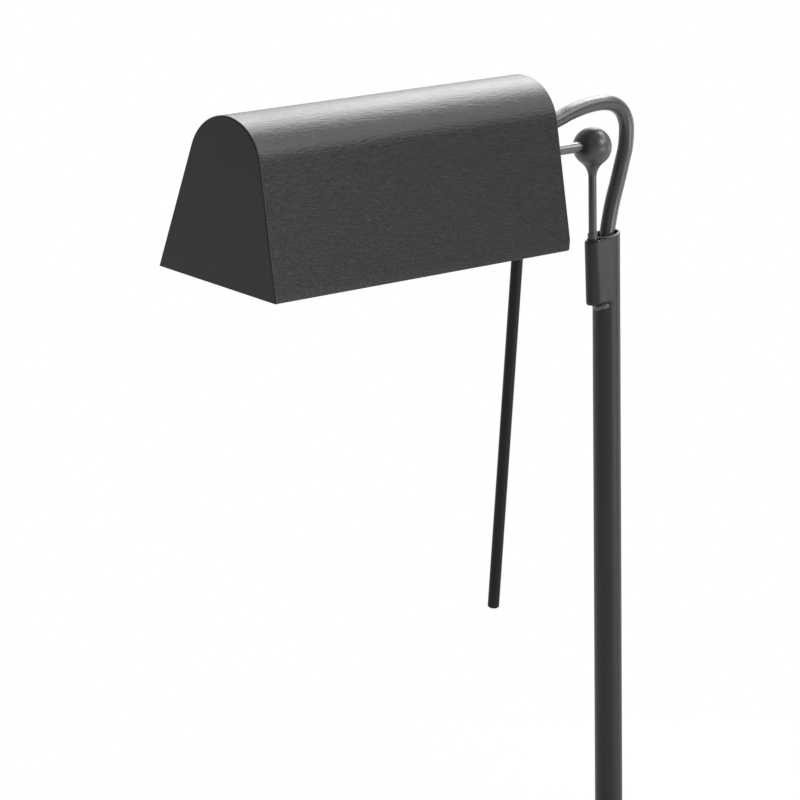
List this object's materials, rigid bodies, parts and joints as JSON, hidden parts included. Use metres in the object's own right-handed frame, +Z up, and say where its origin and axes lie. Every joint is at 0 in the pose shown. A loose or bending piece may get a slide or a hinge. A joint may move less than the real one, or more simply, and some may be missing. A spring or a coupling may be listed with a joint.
{
  "type": "table lamp",
  "caption": "Black table lamp: arched sheet-metal shade with a long handle rod, tilting on a pin and swivelling on a ball-topped spindle beside an upright stem with a round base.",
  "frame": {"origin": "centre of the base's underside, on the stem's axis, at table level", "axes": "+Z up along the stem; the shade reaches towards -X; +X is the back, where the lead's gland is"},
  "size_m": [0.3152, 0.18, 0.4055],
  "materials": {
    "black_paint": "smooth matt black stove enamel",
    "brushed_black": "satin black enamel over sheet with fine lengthwise brush lines",
    "dark_steel": "blackened turned steel",
    "plated_steel": "bright zinc or nickel plate",
    "iron": "raw casting",
    "felt": "pressed felt",
    "rubber": "matt black rubber and nylon",
    "lead_sheath": "semi-gloss black sheath",
    "core_insulation": "brown, blue and green-yellow core insulation",
    "moulding": "black thermoset moulding",
    "brass": "plain brass",
    "opal_glass": "opal white glass"
  },
  "bodies": {
    "stand": {"base_pad": "felt", "bottom_plate": "plated_steel", "plate_screws": "plated_steel", "base_weight": "iron", "base_cover": "black_paint", "lead_gland": "rubber", "terminal_block": "moulding", "terminal_screws": "brass", "lead_cores": "core_insulation", "stem_nipple": "plated_steel", "stem_washer": "plated_steel", "stem_nut": "plated_steel", "stem_foot": "black_paint", "stem_tube": "black_paint", "stem_lead": "lead_sheath", "swivel_socket": "black_paint", "swivel_bush": "rubber", "loop_lead_lower": "lead_sheath"},
    "knuckle": {"swivel_ball": "dark_steel", "spindle_clip": "plated_steel"},
    "head": {"tilt_pin": "dark_steel", "tilt_washer": "plated_steel", "tilt_nut": "plated_steel", "handle_washer": "plated_steel", "handle_rod": "dark_steel", "pin_washer": "plated_steel", "pin_nut": "plated_steel", "shade_barrel": "brushed_black", "stem_end_cap": "black_paint", "free_end_cap": "black_paint", "cap_grommet": "rubber", "loop_lead_upper": "lead_sheath", "head_lead": "lead_sheath", "holder_bracket": "plated_steel", "bracket_rivets": "plated_steel", "holder_nipple": "plated_steel", "nipple_nut": "plated_steel", "holder_cap": "moulding", "holder_body": "moulding", "holder_shell": "brass", "holder_contact": "brass", "bulb_cap": "plated_steel", "bulb_glass": "opal_glass"}
  },
  "joints": [
    {"name": "swivel", "type": "hinge", "parent": "stand", "child": "knuckle", "pos_m": [-0.0085, 0, 0.32], "axis": [0, 0, 1], "range_deg": [-90, 90], "deforming": ["loop_lead_lower"]},
    {"name": "tilt", "type": "hinge", "parent": "knuckle", "child": "head", "pos_m": [-0.0085, 0, 0.37], "axis": [1, 0, 0], "range_deg": [-67, 53], "deforming": ["loop_lead_upper"]}
  ]
}
